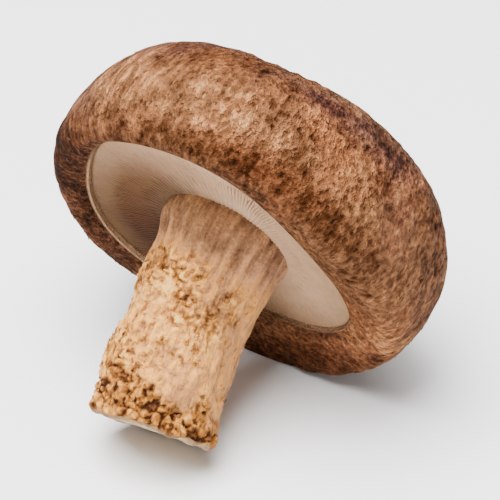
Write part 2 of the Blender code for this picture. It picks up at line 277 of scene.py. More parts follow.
def addPart(tree, start, value, gain, clamp=False):
    # start + value * gain
    return maths(tree, "ADD", start, maths(tree, "MULTIPLY", value, gain), clamp)


def addSwing(tree, start, value, gain, clamp=False):
    # start + (value - 0.5) * gain, so that a value about one half changes nothing
    return addPart(tree, start, maths(tree, "SUBTRACT", value, 0.5), gain, clamp)


def mixValue(tree, part, first, second):
    # The Mix node's sockets for plain numbers are 0, 2 and 3
    return addNode(tree, "ShaderNodeMix", inputs={0: part, 2: first, 3: second}).outputs[0]


def mixColour(tree, part, first, second, mode="MIX"):
    # The Mix node's sockets for colours are 6 and 7, and its colour comes out of 2
    node = addNode(tree, "ShaderNodeMix", {"data_type": "RGBA", "blend_type": mode}, {"Factor": part})
    for index, value in ((6, first), (7, second)):
        if hasattr(value, "node"):
            tree.links.new(value, node.inputs[index])
        else:
            node.inputs[index].default_value = (*value, 1.0)
    return node.outputs[2]


def tinted(tree, colour, tint):
    # The colour multiplied by another
    return mixColour(tree, 1.0, colour, tint, "MULTIPLY")


def ramp(tree, value, stops):
    # A colour ramp whose stops are (place, colour)
    node = addNode(tree, "ShaderNodeValToRGB", inputs={"Fac": value})
    line = node.color_ramp
    while len(line.elements) < len(stops):
        line.elements.new(0.5)
    for element, (place, colour) in zip(line.elements, stops):
        element.position = place
        element.color = (*colour, 1.0)
    return node.outputs["Color"]


def dress(tree, shader, colour, roughness):
    # Joins the two outputs to the shader
    tree.links.new(colour, shader.inputs["Base Color"])
    tree.links.new(roughness, shader.inputs["Roughness"])


def addBump(tree, shader, height, strength, distance):
    # Relief too fine for the mesh: distance in metres for a height of 1
    values = {"Strength": strength, "Distance": distance, "Height": height}
    bump = addNode(tree, "ShaderNodeBump", inputs=values)
    tree.links.new(bump.outputs["Normal"], shader.inputs["Normal"])


numberSocket, placeSocket = "NodeSocketFloat", "NodeSocketVector"


def newGroup(name, sockets, result):
    # A node group with named sockets going in and one number coming out
    group = bpy.data.node_groups.new(name, "ShaderNodeTree")
    for socket, kind in sockets:
        group.interface.new_socket(socket, in_out="INPUT", socket_type=kind)
    group.interface.new_socket(result, in_out="OUTPUT", socket_type=numberSocket)
    return group, group.nodes.new("NodeGroupInput"), group.nodes.new("NodeGroupOutput")


def makeGrainGroup():
    # Noise stretched into fibres: fine noise on the Place, sharpened about its middle
    sockets = (("Place", placeSocket), ("Scale", numberSocket), ("Sharpness", numberSocket))
    group, enter, leave = newGroup("fibreGrain", sockets, "Grain")
    noise = addNode(group, "ShaderNodeTexNoise", inputs={
        "Vector": enter.outputs["Place"], "Scale": enter.outputs["Scale"], "Detail": 3.0, "Roughness": 0.6})
    strong = addSwing(group, 0.5, noise.outputs["Fac"], enter.outputs["Sharpness"], clamp=True)
    group.links.new(strong, leave.inputs["Grain"])
    return group


def makeMottleGroup():
    # Blotches over the flesh: noise at two sizes on object coordinates, averaged
    group, enter, leave = newGroup("mottle", (("Coarse", numberSocket), ("Fine", numberSocket)), "Mottle")
    place = group.nodes.new("ShaderNodeTexCoord").outputs["Object"]
    coarse, fine = (addNode(group, "ShaderNodeTexNoise", inputs={
        "Vector": place, "Scale": enter.outputs[name], "Detail": 4.0, "Roughness": 0.62}).outputs["Fac"]
        for name in ("Coarse", "Fine"))
    both = maths(group, "ADD", coarse, fine)
    group.links.new(maths(group, "MULTIPLY", both, 0.5), leave.inputs["Mottle"])
    return group


def makeFleckGroup():
    # Scattered ragged flecks: cells whose distance, roughened by noise, is under Size
    sockets = (("Place", placeSocket), ("Scale", numberSocket), ("Size", numberSocket))
    group, enter, leave = newGroup("flecks", sockets, "Flecks")
    place, scale = enter.outputs["Place"], enter.outputs["Scale"]
    cells = addNode(group, "ShaderNodeTexVoronoi", inputs={"Vector": place, "Scale": scale})
    noise = addNode(group, "ShaderNodeTexNoise", inputs={
        "Vector": place, "Scale": maths(group, "MULTIPLY", scale, 2.3), "Detail": 2.0, "Roughness": 0.6})
    away = addSwing(group, cells.outputs["Distance"], noise.outputs["Fac"], 0.9)
    inside = maths(group, "SUBTRACT", enter.outputs["Size"], away)
    group.links.new(maths(group, "MULTIPLY", inside, 6.0, clamp=True), leave.inputs["Flecks"])
    return group


grainGroup = makeGrainGroup()
mottleGroup = makeMottleGroup()
fleckGroup = makeFleckGroup()


def grain(tree, place, scale, sharpness):
    # The grain group with these values: 0 to 1, about one half
    return addNode(tree, "ShaderNodeGroup", {"node_tree": grainGroup},
                   {"Place": place, "Scale": scale, "Sharpness": sharpness}).outputs["Grain"]


def flecks(tree, place, scale, size):
    # The fleck group with these values: 1 inside a fleck
    return addNode(tree, "ShaderNodeGroup", {"node_tree": fleckGroup},
                   {"Place": place, "Scale": scale, "Size": size}).outputs["Flecks"]


def mottle(tree, coarse, fine):
    # The mottle group with these scales: 0 to 1, about one half
    return addNode(tree, "ShaderNodeGroup", {"node_tree": mottleGroup},
                   {"Coarse": coarse, "Fine": fine}).outputs["Mottle"]


# The form that the cap, its lip and the gills share: mm and radians

form = {
    "radius": 30.0, "height": 18.7, "power": 2.37,        # the dome, and how square its curve is
    "oval": 0.48, "ovalTurn": 1.135,                      # how much wider one way than round, and which way
    "rimThickness": 3.6,                                  # how far the rim curves in beneath
    "rimDepth": 7.39, "rimSway": 0.56, "rimTurn": -0.874,
    "lipRadius": 20.76, "lipRise": 1.16,                  # the lip is this far above the rim's lowest ring
    "lipWaves": ((1, 4.43, 2.779), (2, 1.09, -1.511), (3, 1.98, 0.953)),   # waves around, size, turn
    "gillSetBack": 0.4, "gillEdgeAtStem": -4.0,
    "ceilingAtLip": 4.0, "ceilingAtStem": -0.5, "ceilingCurve": 1.5,
    "hole": (-0.35, 0.55, 10.4),                          # for the stem: its middle and its radius
}


def capRadius(turn):
    # The widest ring, an oval
    return form["radius"] + form["oval"] * np.cos(2.0 * (turn - form["ovalTurn"]))


def rimDepth(turn):
    # How far the rim hangs below the widest ring, deeper on one side
    return form["rimDepth"] + form["rimSway"] * np.cos(turn - form["rimTurn"])


def lipRadius(turn):
    # A circle with one, two and three waves around it
    radius = np.full_like(turn, form["lipRadius"])
    for waves, size, start in form["lipWaves"]:
        radius = radius + size * np.cos(waves * (turn - start))
    return radius


def rolledWidth(turn):
    # How far the skin runs in from the rim's lowest ring to the lip
    return capRadius(turn) - form["rimThickness"] - lipRadius(turn)


def lipHeight(turn):
    # The lip lies a little above the rim's lowest ring
    return form["lipRise"] - rimDepth(turn)


def holeRadius(turn):
    # A circle for the stem, off the cap's axis
    x, y, radius = form["hole"]
    return radius + x * np.cos(turn) + y * np.sin(turn)


def fromStemToLip(atStem, atLip, part):
    # A height that changes slowly by the stem and faster by the lip
    return atStem + (atLip - atStem) * part ** form["ceilingCurve"]


def gillEdgeHeight(turn, part):
    # The gills' free edges, from the stem to a little behind the lip
    return fromStemToLip(form["gillEdgeAtStem"], lipHeight(turn) + form["gillSetBack"], part)


def ceilingHeight(turn, part):
    # The flesh that the gills hang from
    return fromStemToLip(form["ceilingAtStem"], lipHeight(turn) + form["ceilingAtLip"], part)


# Cap

capSkin = {
    "around": 620, "domeRows": 96, "rimRows": 24, "underRows": 22, "insideRows": 5,
    "wallParts": (0.2, 0.5, 1.0), "underCrowding": 1.5,                # rings stand closer by the lip
    "lump": 0.28, "lumpSize": 17.0, "reliefSeeds": (10, 11, 12),
    "scale": 0.09, "scalesAround": 30, "scaleRow": 4.4, "scaleDrift": 0.045, "rowDrift": 0.3,
    "smoothCrown": 7.0, "scaledFrom": 15.0, "underScaledFrom": 5.0,    # mm from the axis, mm of rolled width
    "patternFull": 24.0,                                  # from here out, patterns lie on the full circle
    "offCrown": (9.0, 22.0),                              # between these, fine relief and streaks set in
    "fibreStretch": 6.0, "fibreDepth": 0.12, "mottleStretch": 1.5,
    "flakesAround": 150, "flakeRow": 2.1, "flakeHeight": 0.11, "flakeSeed": 41,
    "pitDepth": 0.26, "bumpHeight": 0.06,
    "bead": 0.22, "beadAt": 0.42, "beadWidth": 0.36,      # the lip's raised edge
    "beadFrom": 1.0, "beadFull": 4.5,                     # grows with the rolled width
    "lipTurn": 105.0,                                     # and is widest towards this turn
    "calmFrom": 43.5, "calmFull": 48.5, "calmRolled": 6.0, "calm": 0.8,    # smoother where the lip is close
    # noise: size in mm, seed, layers
    "wander": (6.0, 31, 2), "fibres": (1.6, 32, 3), "flaky": (9.0, 42, 2), "pits": (1.1, 51, 2),
    "pitted": (7.0, 52, 2), "mottles": (2.8, 64, 2), "blotches": (7.0, 61, 3), "rough": (2.5, 62, 2),
    "plumAreas": (11.0, 63, 2), "ruddyAreas": (8.0, 65, 3),
    # tone, 0 the darkest and 1 the palest: the ground, and what each pattern adds
    "tone": {"ground": 0.51, "blotches": 0.09, "mottles": 0.13, "scales": 0.04, "fibres": 0.15,
             "flakes": 0.16, "pits": 0.26, "flakeStepShadow": 0.06},
    # placed patches: (turn in degrees, mm from the crown), (mm around, mm along), gain. The dark ones from 44
    # mm out are painted shade low on the rim; the others are the skin's own colour
    "patches": (
        ((190, 41.0), (9.0, 4.0), 0.30), ((180, 38.0), (8.0, 4.0), 0.16), ((207, 40.5), (6.0, 3.2), 0.11),
        ((216, 35.0), (8.0, 4.0), 0.26), ((152, 39.0), (11.0, 7.0), 0.36), ((271, 50.0), (12.0, 5.0), 0.16),
        ((241, 38.0), (9.0, 6.0), 0.14), ((256, 40.0), (10.0, 6.0), 0.09), ((292, 49.5), (10.0, 6.0), 0.24),
        ((202, 45.5), (10.0, 1.8), -0.29), ((183, 46.2), (6.0, 1.5), -0.15),
        ((227, 44.6), (10.0, 3.0), -0.18), ((178, 27.0), (14.0, 6.0), -0.09),
        ((118, 47.5), (16.0, 4.5), -0.35), ((88, 51.0), (16.0, 4.0), -0.14),
        ((212, 29.5), (3.6, 1.3), -0.20), ((224, 29.0), (4.5, 1.2), -0.15),
        ((236, 29.5), (5.0, 1.3), -0.16), ((332, 51.0), (16.0, 5.0), -0.14)),
    "streakyPatches": (((150, 36.0), (14.0, 9.0)),),
    "streakyRim": 0.12, "streakyRimFrom": (42.0, 47.0),
    "plumPatches": (((212, 29.5), (6.0, 3.0)), ((224, 29.5), (5.0, 3.0)), ((236, 30.5), (6.0, 3.0))),
    "ruddyPatches": (((178, 27.0), (16.0, 6.0)), ((206, 45.0), (12.0, 3.0)), ((108, 48.0), (26.0, 4.0)),
                     ((325, 51.0), (20.0, 4.0))),
}


def capShape(stretch, part, turn):
    # Radius and height of one ring. The dome is a squarish ellipse, the rim a quarter
    # ellipse outwards and down, the underside a quarter ellipse in and up to the lip,
    # and the ceiling runs in from the lip to the stem
    widest, depth, lip = capRadius(turn), rimDepth(turn), lipRadius(turn)
    bottom = widest - form["rimThickness"]
    angle = part * math.pi / 2.0
    power = 2.0 / form["power"]
    if stretch == "dome":
        height = form["height"] * abs(math.cos(angle)) ** power
        return widest * math.sin(angle) ** power, np.full_like(turn, height)
    if stretch == "rim":
        return bottom + form["rimThickness"] * math.cos(angle), -depth * math.sin(angle)
    if stretch == "under":
        return bottom - (bottom - lip) * math.sin(angle), lipHeight(turn) - form["lipRise"] * math.cos(angle)
    if stretch == "wall":
        return lip + 0.0 * turn, lipHeight(turn) + (ceilingHeight(turn, 1.0) - lipHeight(turn)) * part
    inner = holeRadius(turn)
    return inner + (lip - inner) * part, ceilingHeight(turn, part)


def evenParts(stretch, count):
    # Parts of a stretch that lie evenly along it, measured at turn 0 in 800 short steps
    fine = np.linspace(0.0, 1.0, 800)
    line = np.array([[value[0] for value in capShape(stretch, part, np.zeros(1))] for part in fine])
    length = np.concatenate([[0.0], np.cumsum(np.hypot(*np.diff(line, axis=0).T))])
    return np.interp(np.linspace(0.0, length[-1], count + 1), length, fine), length[-1]


def capRings():
    # The cap's rings from crown to ceiling, with the length along the skin, the share of
    # the relief that shows there, the radius of the circle that patterns lie on, and the
    # way from the lip, which is negative behind it
    dome, domeLength = evenParts("dome", capSkin["domeRows"])
    rim, rimLength = evenParts("rim", capSkin["rimRows"])
    under = 1.0 - (1.0 - np.linspace(0.0, 1.0, capSkin["underRows"] + 1)) ** capSkin["underCrowding"]
    inside = np.linspace(1.0, 0.0, capSkin["insideRows"])
    turn = np.arange(capSkin["around"]) * (2.0 * math.pi / capSkin["around"])
    rolled = rolledWidth(turn)
    rimEnd = domeLength + rimLength
    wallLength = form["ceilingAtLip"]
    ceilingLength = wallLength + 1.0
    rows = [("dome", part, domeLength * (i + 1) / capSkin["domeRows"]) for i, part in enumerate(dome[1:])]
    rows += [("rim", part, domeLength + rimLength * (i + 1) / capSkin["rimRows"])
             for i, part in enumerate(rim[1:])]
    rows += [("under", part, rimEnd + rolled * part) for part in under[1:]]
    rows += [("wall", part, rimEnd + rolled + wallLength * part) for part in capSkin["wallParts"]]
    rows += [("ceiling", part, rimEnd + rolled + ceilingLength) for part in inside[1:]]
    underShare = smoothStep(rolled, 0.0, capSkin["underScaledFrom"])
    underWidth = np.maximum(rolled, form["lipRise"])
    farFromLip = 9.0
    columns = []
    for stretch, part, along in rows:
        r, h = capShape(stretch, part, turn)
        share = {"dome": 1.0, "rim": 1.0, "under": (1.0 - part) ** 2 * underShare}.get(stretch, 0.0)
        onDome = r + (form["radius"] - r) * smoothStep(r, capSkin["smoothCrown"], capSkin["patternFull"])
        beneath = r * form["radius"] / (form["radius"] - form["rimThickness"])
        reach = {"dome": onDome, "rim": form["radius"]}.get(stretch, beneath)
        fromLip = {"under": (1.0 - part) * underWidth, "wall": -part}.get(stretch, farFromLip)
        columns.append([value + 0.0 * turn for value in (turn, r, h, along, share, reach, fromLip)])
    return [np.array(column) for column in zip(*columns)]


def capBroadRelief(points, turn, radius, length):
    # The solid's lumps and its staggered scales, made lower than there
    broadly, strayed, rowed = (lumps(points, capSkin["lumpSize"], seed) for seed in capSkin["reliefSeeds"])
    stray = capSkin["scaleDrift"] * strayed
    row = length / capSkin["scaleRow"] + capSkin["rowDrift"] * rowed
    scales = np.cos(capSkin["scalesAround"] * (turn + stray)) * np.cos(math.pi * row)
    scales *= smoothStep(radius, capSkin["smoothCrown"], capSkin["scaledFrom"])
    return capSkin["lump"] * broadly + capSkin["scale"] * scales, scales


def withPatches(mask, patches, turn, length):
    # The mask, raised to each placed patch where that is higher
    for at, size in patches:
        mask = np.maximum(mask, spot(turn, length, at, size, form["radius"]))
    return mask


def makeCapSkin(material):
    # The rings, moved along their normals by the relief, which fades out by the table
    turn, radius, height, length, skin, reach, fromLip = capRings()
    rings = around(radius, turn, height)
    normals = ringNormals(rings)
    clear = smoothStep(heightOverTable(rings), 0.0, lying["reliefFade"])
    broad, scales = capBroadRelief(rings, turn, radius, length)

    # Fibres: streaks that run down from the crown. Their circle shrinks with the ring
    # near the crown, so that they don't run together there
    place = grainPlace(turn, length, reach, capSkin["fibreStretch"])
    wander = 0.6 * layeredNoise(rings, *capSkin["wander"])
    fibre = layeredNoise(place + wander[..., None] * 0.5, *capSkin["fibres"])
    offCrown = smoothStep(radius, *capSkin["offCrown"])
    # Flakes: scattered small scales, each rising towards the rim and ending in a step
    du, dv, edge, pick = cellsAround(turn + 0.02 * wander, length / capSkin["flakeRow"],
                                     capSkin["flakesAround"], capSkin["flakeSeed"])[:4]
    rise = smoothStep(dv, -0.55, 0.45) * smoothStep(edge, 0.0, 0.25)
    rise = rise * (1.0 - np.clip(np.abs(du) * 1.3, 0, 1) ** 2)
    flaky = smoothStep(layeredNoise(rings, *capSkin["flaky"]), -0.5, 0.4) * offCrown
    flake = rise * smoothStep(pick, 0.35, 0.75) * flaky
    # Pits: small hollows scattered where coarse noise allows them
    pit = smoothStep(layeredNoise(rings, *capSkin["pits"]), 0.42, 0.85)
    pit = pit * smoothStep(layeredNoise(rings, *capSkin["pitted"]), -0.45, 0.5)
    # Mottles: low bumps, with fibres over them where the skin is streaky
    streaky = capSkin["streakyRim"] * smoothStep(length + 1.5 * wander, *capSkin["streakyRimFrom"])
    streaky = withPatches(streaky, capSkin["streakyPatches"], turn, length)
    place = grainPlace(turn, length, reach, capSkin["mottleStretch"])
    mottled = layeredNoise(place + wander[..., None] * 0.4, *capSkin["mottles"])

    fine = capSkin["fibreDepth"] * fibre * offCrown * (0.28 + 1.2 * streaky)
    fine += capSkin["bumpHeight"] * mottled * offCrown
    fine += capSkin["flakeHeight"] * flake
    fine -= capSkin["pitDepth"] * pit
    relief = broad + fine
    rolled = rolledWidth(turn)
    nearLip = smoothStep(length, capSkin["calmFrom"], capSkin["calmFull"])
    relief *= 1.0 - capSkin["calm"] * nearLip * (1.0 - smoothStep(rolled, 0.0, capSkin["calmRolled"]))
    lipShow = smoothStep(rolled, capSkin["beadFrom"], capSkin["beadFull"])
    lipShow = lipShow * (0.25 + 0.75 * towards(turn, capSkin["lipTurn"]))
    bead = capSkin["bead"] * np.exp(-((fromLip - capSkin["beadAt"]) / capSkin["beadWidth"]) ** 2) * lipShow
    points = rings + (relief * skin * clear + bead * clear)[..., None] * normals
    points = pressOnTable(points)

    # Tone: how pale the skin is at each place, from its relief and placed patches, with painted shade low on
    # the rim
    gains = capSkin["tone"]
    tone = (gains["ground"] + gains["blotches"] * layeredNoise(rings, *capSkin["blotches"])
            + gains["mottles"] * mottled + gains["scales"] * scales
            + gains["fibres"] * fibre * offCrown * (0.14 + 1.2 * streaky))
    # the flakes' edges are darker: a painted shadow below each step
    tone += (gains["flakes"] * flake - gains["pits"] * pit
             - gains["flakeStepShadow"] * smoothStep(0.12 - edge, 0.0, 0.1) * flaky)
    rough = 0.8 + 0.45 * layeredNoise(rings, *capSkin["rough"])
    # the dark patches low on the rim are painted shade
    for at, size, gain in capSkin["patches"]:
        tone += gain * spot(turn, length, at, size, form["radius"]) * rough
    plum = 0.6 * smoothStep(layeredNoise(rings, *capSkin["plumAreas"]), 0.1, 0.9)
    ruddy = 0.8 * smoothStep(layeredNoise(rings, *capSkin["ruddyAreas"]), 0.0, 0.9)
    lipColour = np.where(fromLip < -0.01, 0.8, 0.05 + 0.95 * lipShow)      # the wall behind it is pale too
    values = {
        "tone": np.clip(tone, 0.0, 1.0),
        "plum": np.clip(withPatches(plum, capSkin["plumPatches"], turn, length), 0.0, 1.0),
        "ruddy": withPatches(ruddy, capSkin["ruddyPatches"], turn, length),
        "lip": (1.0 - smoothStep(fromLip, 0.65, 1.0)) * lipColour,
        "streaky": streaky, "grain": grainPlace(turn, length, reach, 1.3),
        "fibres": grainPlace(turn, length, reach, 3.6),
    }
    piece = ringPiece("cap_skin", points, material, values)
    return piece, (radius, points, normals, skin, values["tone"])


capColours = {
    "brown": ((0.0, (0.011, 0.004, 0.001)), (0.2, (0.040, 0.013, 0.003)), (0.4, (0.084, 0.031, 0.0115)),
              (0.6, (0.155, 0.064, 0.027)), (0.8, (0.270, 0.108, 0.042)), (1.0, (0.460, 0.220, 0.092))),
    "plum": ((0.0, (0.010, 0.004, 0.003)), (0.25, (0.044, 0.017, 0.013)), (0.5, (0.110, 0.045, 0.031)),
             (0.8, (0.270, 0.115, 0.058)), (1.0, (0.460, 0.240, 0.130))),
    "lip": ((0.2, (0.400, 0.240, 0.135)), (0.8, (0.520, 0.330, 0.200))),
    "ruddy": (1.08, 0.90, 0.80),
    "streaks": ((0.45, 2.6, 0.16), (1.05, 3.8, 0.37)),      # noise scale, sharpness, gain in tone
}


def makeCapMaterial():
    # The tone attribute is shifted by grain at three sizes, which turns to streaks where
    # the skin is streaky, and by dark and pale flecks. It picks a brown, or a plum brown
    # where that mask is high, and the lip's cream lies over both
    material, tree, shader = newMaterial("cap skin", 0.8, Specular_IOR_Level=0.04)
    place = attribute(tree, "grain", "Vector")
    fibres = attribute(tree, "fibres", "Vector")
    streaky = attribute(tree, "streaky")
    lip = attribute(tree, "lip")
    tone = attribute(tree, "tone")
    fine = grain(tree, place, 2.3, 2.6)
    for scale, sharpness, gain in capColours["streaks"]:
        granular = grain(tree, place, scale, sharpness)
        streaks = grain(tree, fibres, scale * 1.1, sharpness)
        tone = addSwing(tree, tone, mixValue(tree, streaky, granular, streaks), gain)
    tone = addSwing(tree, tone, fine, 0.18)
    dark = flecks(tree, place, 0.95, 0.30)
    pale = flecks(tree, place, 1.25, 0.22)
    tone = addPart(tree, tone, dark, -0.14)
    tone = addPart(tree, tone, pale, 0.19, clamp=True)
    brown = ramp(tree, tone, capColours["brown"])
    plum = ramp(tree, tone, capColours["plum"])
    colour = mixColour(tree, maths(tree, "MULTIPLY", attribute(tree, "plum"), 0.9), brown, plum)
    colour = mixColour(tree, attribute(tree, "ruddy"), colour, tinted(tree, colour, capColours["ruddy"]))
    colour = mixColour(tree, lip, colour, ramp(tree, fine, capColours["lip"]))
    dress(tree, shader, colour, addPart(tree, 0.88, tone, -0.2))
    height = addPart(tree, maths(tree, "SUBTRACT", pale, dark), fine, 0.5)
    height = maths(tree, "ADD", height, granular)
    height = maths(tree, "MULTIPLY", height, addPart(tree, 1.0, lip, -0.8))
    addBump(tree, shader, height, 1.0, 0.0005)
    return material


# Gills

gillBlades = {
    "seed": 7, "groups": 104,
    "starts": (0.0, 0.56, 0.22, 0.60), "startDrift": 0.06,    # where each of four begins, stem 0 to lip 1
    "rows": 26, "rowCrowding": 1.1,
    "edge": 0.15, "root": 0.25, "depth": 0.75, "intoStem": 0.8, "lipGap": 0.2, "topGap": 0.3,    # mm
    "slope": 0.12, "asleep": 0.16,                            # asleep: width kept before a gill begins
    "wave": 0.35, "waves": (2.2, 72, 2),                      # noise: size, seed, layers
    "ragged": 0.06, "rags": (1.0, 73, 2),
}


def makeGills(material):
    # A ring of flesh whose lower face rises into blades: four lines run along each
    # gill, two at its root and two at its edge. A group of four shares its sector of
    # the ring by how far each has grown, and a slow noise bends them together
    groups = gillBlades["groups"]
    rng = np.random.default_rng(gillBlades["seed"])
    drift = gillBlades["startDrift"]
    starts = np.array(gillBlades["starts"]) + rng.uniform(-drift, drift, (groups, 4))
    starts[:, 0] = -1.0      # the longest begin inside the stem
    gilled = 1.0 - np.linspace(0.0, 1.0, gillBlades["rows"]) ** gillBlades["rowCrowding"]
    blade = np.arange(groups * 4)
    rings, ridges, reaches, turns, parts = [], [], [], [], []
    for face, part in [("top", 0.0), ("top", 0.5), ("top", 1.0)] + [("gilled", p) for p in gilled]:
        grown = smoothStep(part, starts, starts + gillBlades["slope"])
        width = gillBlades["asleep"] + (1.0 - gillBlades["asleep"]) * grown
        width /= width.sum(axis=1)[:, None]
        before = np.cumsum(width, axis=1) - 0.5 * width
        middle = (2.0 * math.pi / groups * (np.arange(groups)[:, None] + before)).ravel()
        inner, outer = holeRadius(middle) - gillBlades["intoStem"], lipRadius(middle) - gillBlades["lipGap"]
        radius = inner + (outer - inner) * part
        room = 2.0 * math.pi / groups * width.ravel() * radius
        root = np.minimum(gillBlades["root"] / 2.0, 0.36 * room)
        thin = np.minimum(gillBlades["edge"] / 2.0, 0.6 * root)
        slow = around(9.0, middle, np.full_like(middle, part * 5.0))
        bend = gillBlades["wave"] * layeredNoise(slow, *gillBlades["waves"])
        waved = slow * np.array([1.0, 1.0, 4.0]) + blade[:, None] * 3.7
        edge = gillEdgeHeight(middle, part) + gillBlades["ragged"] * layeredNoise(waved, *gillBlades["rags"])
        depth = (gillBlades["depth"] * (0.12 + 0.88 * smoothStep(part, 0.15, 0.6))
                 * (1.0 - 0.7 * smoothStep(part, 0.97, 1.0)))
        valley = edge + depth
        # painted shade: where ridge is low, in the valleys between the blades, the gills are darker; by the
        # stem hardly at all
        pale = 0.85 * (1.0 - smoothStep(part, 0.10, 0.6))      # by the stem the valleys are as pale
        for side, offset in enumerate((-root, -thin, thin, root)):
            tip = grown.ravel() if side in (1, 2) else 0.0 * radius
            ceiling = ceilingHeight(middle, part) - gillBlades["topGap"]
            turn = middle + (offset + bend) / radius
            rings.append(around(radius, turn, ceiling if face == "top" else valley - depth * tip))
            ridges.append(np.maximum(tip, pale + 0.0 * tip))
            reaches.append(radius)
            turns.append(turn)
            parts.append(np.full_like(radius, part))

    def inLines(values):
        # From one array for each side of each ring to rings of all lines in order
        values = np.array(values)
        values = values.reshape(-1, 4, groups * 4, *values.shape[2:])
        return np.swapaxes(values, 1, 2).reshape(values.shape[0], groups * 16, *values.shape[3:])

    turn, reach, part = inLines(turns), inLines(reaches), inLines(parts)
    # painted shade: the gills are darker about turn 84, more towards the stem, about turn 45, and about turn
    # 310 by the lip
    left = towards(turn, 84.0) ** 1.5 + 0.12 * towards(turn, 275.0) ** 3
    shade = (towards(turn, 45.0) ** 3.2 * (1.0 - 0.3 * part)
             + 0.6 * towards(turn, 310.0) ** 2 * smoothStep(part, 0.4, 1.0))
    values = {"ridge": inLines(ridges), "part": part, "left": left, "shade": shade,
              "grain": grainPlace(turn, reach, 22.0, 5.0)}
    return ringPiece("gill_blades", inLines(rings), material, values, joined=True)


gillColours = {
    "cream": ((0.3, (0.490, 0.300, 0.175)), (0.5, (0.580, 0.370, 0.225)), (0.7, (0.660, 0.440, 0.285))),
    # the second ramp is painted shade, for the valleys between the blades
    "valleyShade": ((0.2, (0.250, 0.158, 0.096)), (0.8, (0.350, 0.225, 0.140))),
    # the two dark tints here are painted shade on two sides of the gills
    "plain": (1.0, 1.0, 1.0), "stemSideShade": (0.185, 0.143, 0.112), "shade": (0.24, 0.17, 0.11),
    "scatter": (1.0, 0.6, 0.35),     # how far red, green and blue go in, beside each other
}


def makeGillMaterial():
    # Cream, warmer and darker between the blades, a painted shade. Painted shade, brown, lies on one
    # side, more towards the stem, and a darker painted shade on another
    material, tree, shader = newMaterial("gill cream", 0.7, Specular_IOR_Level=0.1,
                                         Subsurface_Weight=0.25, Subsurface_Scale=0.0012)
    shader.inputs["Subsurface Radius"].default_value = gillColours["scatter"]
    soft = mottle(tree, 260.0, 1200.0)
    fine = grain(tree, attribute(tree, "grain", "Vector"), 1.1, 1.8)
    cream = ramp(tree, soft, gillColours["cream"])
    valleyShade = ramp(tree, fine, gillColours["valleyShade"])
    colour = mixColour(tree, maths(tree, "POWER", attribute(tree, "ridge"), 0.9), valleyShade, cream)
    inwards = addPart(tree, 1.6, attribute(tree, "part"), -0.85)
    stemSideShade = maths(tree, "MULTIPLY", attribute(tree, "left"), inwards, clamp=True)
    for mask, dark in ((stemSideShade, gillColours["stemSideShade"]), (attribute(tree, "shade"), gillColours["shade"])):
        colour = tinted(tree, colour, mixColour(tree, mask, gillColours["plain"], dark))
    dress(tree, shader, colour, addPart(tree, 0.5, soft, 0.2))
    addBump(tree, shader, fine, 0.3, 0.0001)
    return material


# Stem

stemFlesh = {
    "around": 400, "rows": 190, "edgeRows": 7, "cutRows": 24, "length": 32.0,
    "top": (-0.72, 0.46, -0.8), "bow": (3.55, 1.83, -17.5), "end": (9.4, -0.25, -32.0),
    "radii": ((0.0, 9.9), (0.10, 10.15), (0.17, 9.45), (0.33, 8.7), (0.58, 8.7), (0.82, 9.15), (1.0, 9.3)),
    "rounding": 1.0, "slant": 0.62, "slantTurn": -1.77, "slantReach": 0.25,      # the cut
    "lump": 0.20, "lumpSize": 9.0, "reliefSeeds": (20, 21, 22, 23),
    "scale": 0.18, "scalesAround": 15, "scaleRow": 0.14,
    "ribs": 20, "rib": 0.24, "collarEnd": 0.30,
    "crumble": 0.25, "crumbleSize": 4.0, "crumbleSeed": 24, "crumb": 0.10,
    "bend": 0.7, "scalyTurn": 130.0,
    "scalesRound": 30, "scaleStep": 1.6, "scaleSeed": 95, "scaleHeight": 0.22,
    "lumpsRound": 34, "lumpStep": 1.5, "lumpSeed": 96, "lumpHeight": 0.22, "cleftDepth": 0.26,
    "jitter": 0.95, "fibreDepth": 0.07, "fleckHeight": 0.12,
    # noise: size in mm, seed, layers
    "fibres": (1.0, 81, 3), "bends": ((2.4, 82, 3), (2.4, 83, 3)), "patches": (4.5, 87, 2),
    "breaks": (1.3, 99, 2), "grit": (0.8, 90, 2), "flecks": (1.15, 98, 3), "crumbs": (1.4, 89, 3),
    "clouds": (5.0, 91, 3),
    # tone: the ground, and what each pattern adds or, from curls on, takes away; what the collar and the back
    # take away is painted shade
    "tone": {"ground": 0.82, "clouds": 0.10, "fibres": 0.18, "grit": 0.28, "raised": 0.10, "tint": 0.20,
             "ribs": 0.06, "baseGrit": 0.26, "baseTint": 0.30,
             "curls": 0.34, "flecks": 0.24, "collar": 0.28, "collarShadeFacing": 0.16, "backShade": 0.12,
             "upper": 0.12, "clefts": 0.52, "base": 0.18},
}


def stemFrame(part):
    # A curve bent by three points, its direction, and two ways across it
    top, bow, end = (np.array(stemFlesh[key]) for key in ("top", "bow", "end"))
    part = part[:, None]
    middle = (1 - part) ** 2 * top + 2 * part * (1 - part) * bow + part ** 2 * end
    along = 2 * (1 - part) * (bow - top) + 2 * part * (end - bow)
    along /= np.linalg.norm(along, axis=1)[:, None]
    across = np.array([1.0, 0.0, 0.0]) - along[:, :1] * along
    across /= np.linalg.norm(across, axis=1)[:, None]
    return middle, along, across, np.cross(across, along)


def stemRadius(part):
    # Radii read at given parts of the length, eased with a short running average
    parts, radii = zip(*stemFlesh["radii"])
    spread = np.linspace(-0.04, 0.04, 9)
    return np.mean([np.interp(part + shift, parts, radii) for shift in spread], axis=0)


